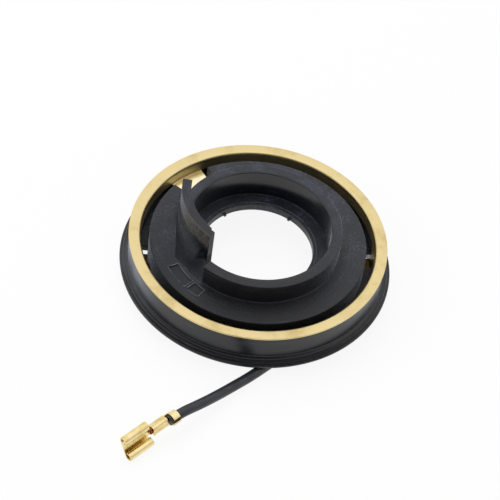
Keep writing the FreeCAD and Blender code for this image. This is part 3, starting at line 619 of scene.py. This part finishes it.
def makeHollow(s):
    steps, across = s["steps"], s["across"]
    inner = circlePoints(s["bladeCentre"], s["bladeRadius"], *s["bladeTurns"])
    inner += circlePoints((0, 0), s["hubRadius"], *s["hubTurns"])
    outer = [Vector(point) for point in s["edge"]]
    bm = bmesh.new()
    top, low = [], []
    for i in range(steps + 1):
        share = i / steps
        near, far = alongPoints(inner, share), alongPoints(outer, share)
        before, after = next(pair for pair in zip(s["heights"], s["heights"][1:]) if share <= pair[1][0])
        part = (share - before[0]) / (after[0] - before[0])
        high, dip, rim = [a + (b - a) * part for a, b in zip(before[1:], after[1:])]
        topRow, lowRow = [], []
        for k in range(across + 1):
            way = (k / across) ** s["crowding"]
            out = 2 * way * (1 - way) * s["lean"] + way * way
            height = high * (1 - way) ** 2 + 2 * way * (1 - way) * dip + rim * way * way
            spot = near.lerp(far, out)
            topRow.append(bm.verts.new((spot.x * mm, spot.y * mm, height * mm)))
            lowRow.append(bm.verts.new((spot.x * mm, spot.y * mm, s["foot"] * mm)))
        top.append(topRow)
        low.append(lowRow)
    for rows in (top, low):
        for i in range(steps):
            for k in range(across):
                bm.faces.new((rows[i][k], rows[i + 1][k], rows[i + 1][k + 1], rows[i][k + 1]))
    for i in range(steps):
        for k in (0, across):
            bm.faces.new((top[i][k], top[i + 1][k], low[i + 1][k], low[i][k]))
    for k in range(across):
        for i in (0, steps):
            bm.faces.new((top[i][k], top[i][k + 1], low[i][k + 1], low[i][k]))
    mesh = bpy.data.meshes.new("bladeHollow")
    bm.to_mesh(mesh)
    bm.free()
    mesh.materials.append(finishes["moulding"])
    addPiece("bladeHollow", [mesh], sharpAngle=s["sharpAngle"])


makeHollow(hollowSizes)
print("hollow beside the blade made")

# thin ridges that the mould left round the floor's two insets and on the ledge inside the collar
ridgeSizes = {
    "insetRadii": (24.5, 27.7),
    "insets": [(221.5, 17.0), (236.0, 8.5)],    # place and span in degrees
    "floor": 12.8,
    "rise": 0.16,
    "endRise": 0.12,
    "endSpan": 0.5,
    "halfWidth": 0.13,
    "crest": 0.05,              # rounding
    "sunk": 0.05,               # how far the feet stand in the body
    "ledgeRadius": 16.5,
    "ledge": 10.16,
    "ledgeRise": 0.12,
    "ledgePlace": 38.0,         # the rest of the turn is open beside the blade
    "ledgeSpan": 322.0,
    "insetSteps": 16,
    "ledgeSteps": 160,
    "endSteps": 2,
}


def makeRidges(s):
    inner, outer = s["insetRadii"]
    low, high = s["floor"] - s["sunk"], s["floor"] + s["endRise"]
    end = [(inner, low, 0), (inner, high, 0), (outer, high, 0), (outer, low, 0)]
    lines = [(radius, s["floor"], s["rise"], place, span, s["insetSteps"]) for place, span in s["insets"]
             for radius in (inner, outer)]
    lines.append((s["ledgeRadius"], s["ledge"], s["ledgeRise"], s["ledgePlace"], s["ledgeSpan"],
                  s["ledgeSteps"]))
    meshes = []
    for radius, ground, rise, place, span, steps in lines:
        foot = ground - s["sunk"]
        ridge = [(radius - s["halfWidth"], foot, 0), (radius, ground + rise, s["crest"]),
                 (radius + s["halfWidth"], foot, 0)]
        meshes.append(sweep("ridge", ridge, radius, place, span, steps, "paleHighlightNylon"))
    for place, span in s["insets"]:
        for side in (-1, 1):
            meshes.append(sweep("ridgeEnd", end, inner, place + side * span / 2, s["endSpan"], s["endSteps"],
                                "paleHighlightNylon"))
    addPiece("mouldRidges", meshes)


makeRidges(ridgeSizes)
print("ridges made")

nodeFinish = {
    "cam_body": "moulding",
    "lead_under_body": "softVinyl",
    "inner_strands": "drawnCopper",
    "solder_joint": "softSolder",
    "spade_terminal": "platedBrass",
}
for node, finish in nodeFinish.items():
    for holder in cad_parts[node].material_slots:
        holder.material = finishes[finish]
print("finishes given to the nodes")

lead.data.materials.append(finishes["softVinyl"])
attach(lead, "root")
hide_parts("lead_tail")

# pale floor and soft studio light
stageSizes = {
    "floorHalf": 3.0,       # m
    "floorColour": "#F0F0F0",
    "shadowShare": 0.1,     # how much of the floor's own shading is seen under the white
}


def makeStage(s):
    mesh = bpy.data.meshes.new("floor")
    half = s["floorHalf"]
    mesh.from_pydata([(-half, -half, 0), (half, -half, 0), (half, half, 0), (-half, half, 0)], [], [(0, 1, 2, 3)])
    floor = bpy.data.objects.new("floor", mesh)
    scene.collection.objects.link(floor)
    material = bpy.data.materials.new("paperFloor")
    material.use_nodes = True
    tree = material.node_tree
    tree.nodes.clear()
    # the camera, gloss and clear things see the paper white, with a little of its shadow
    paper = addNode(tree, "ShaderNodeBsdfDiffuse", {"Color": toLinear(s["floorColour"])})
    white = addNode(tree, "ShaderNodeEmission", {"Strength": 1.0})
    shaded = addNode(tree, "ShaderNodeMixShader", {"Fac": s["shadowShare"], 1: white, 2: paper})
    path = addNode(tree, "ShaderNodeLightPath").outputs
    seen = path["Is Camera Ray"]
    for ray in ("Is Transmission Ray", "Is Glossy Ray"):
        seen = addNode(tree, "ShaderNodeMath", {0: seen, 1: path[ray]}, operation="MAXIMUM")
    final = addNode(tree, "ShaderNodeMixShader", {"Fac": seen, 1: paper, 2: shaded})
    addNode(tree, "ShaderNodeOutputMaterial", {"Surface": final})
    mesh.materials.append(material)


worldSizes = {
    "light": 0.6,                       # what falls on the object from all round
    # what gloss shows: where the change starts and ends along a direction, and the light there
    "depth": (-0.75, 0.0, 0.06, 1.0),   # a dim room in front, a white wall behind
    "rise": (0.3, 1.0, 0.95, 1.15),     # which brightens towards the ceiling
}


def makeWorld(s):
    world = bpy.data.worlds.new("studio")
    scene.world = world
    world.use_nodes = True
    tree = world.node_tree
    tree.nodes.clear()
    path = addNode(tree, "ShaderNodeLightPath").outputs
    heading = addNode(tree, "ShaderNodeTexCoord").outputs["Generated"]
    split = addNode(tree, "ShaderNodeSeparateXYZ", {0: heading}).outputs
    walls = []
    for source, (start, end, low, high) in ((split[1], s["depth"]), (split[2], s["rise"])):
        walls.append(addNode(tree, "ShaderNodeMapRange", {"Value": source, "From Min": start, "From Max": end,
                                                          "To Min": low, "To Max": high},
                             interpolation_type="SMOOTHSTEP"))
    room = addNode(tree, "ShaderNodeMath", {0: walls[0], 1: walls[1]}, operation="MULTIPLY")
    glossy = addNode(tree, "ShaderNodeMix", {0: path["Is Glossy Ray"], 2: s["light"], 3: room}, data_type="FLOAT")
    seen = addNode(tree, "ShaderNodeMath", {0: path["Is Camera Ray"], 1: path["Is Transmission Ray"]},
                   operation="MAXIMUM")
    level = addNode(tree, "ShaderNodeMix", {0: seen, 2: glossy, 3: 1.0}, data_type="FLOAT")
    light = addNode(tree, "ShaderNodeBackground", {"Color": (1, 1, 1, 1), "Strength": level})
    addNode(tree, "ShaderNodeOutputWorld", {"Surface": light})


lamps = {
    "overheadSoftbox": {"spot": (-0.15, 0.35, 0.7), "size": 0.6, "power": 3.2},
    "sideSoftbox": {"spot": (-0.6, -0.2, 0.35), "size": 0.4, "power": 1.2},
}


def makeLamp(name, s):
    data = bpy.data.lights.new(name, "AREA")
    data.shape = "SQUARE"
    data.size = s["size"]
    data.energy = s["power"]
    lamp = bpy.data.objects.new(name, data)
    lamp.location = s["spot"]
    lamp.rotation_euler = Vector(s["spot"]).to_track_quat("Z", "Y").to_euler()
    lamp.visible_glossy = False     # gloss shows the white wall in place of the lamps
    scene.collection.objects.link(lamp)


makeStage(stageSizes)
makeWorld(worldSizes)
for name, sizes in lamps.items():
    makeLamp(name, sizes)
scene.view_settings.view_transform = "Standard"
print("stage and lamps placed")

bpy.context.view_layer.update()
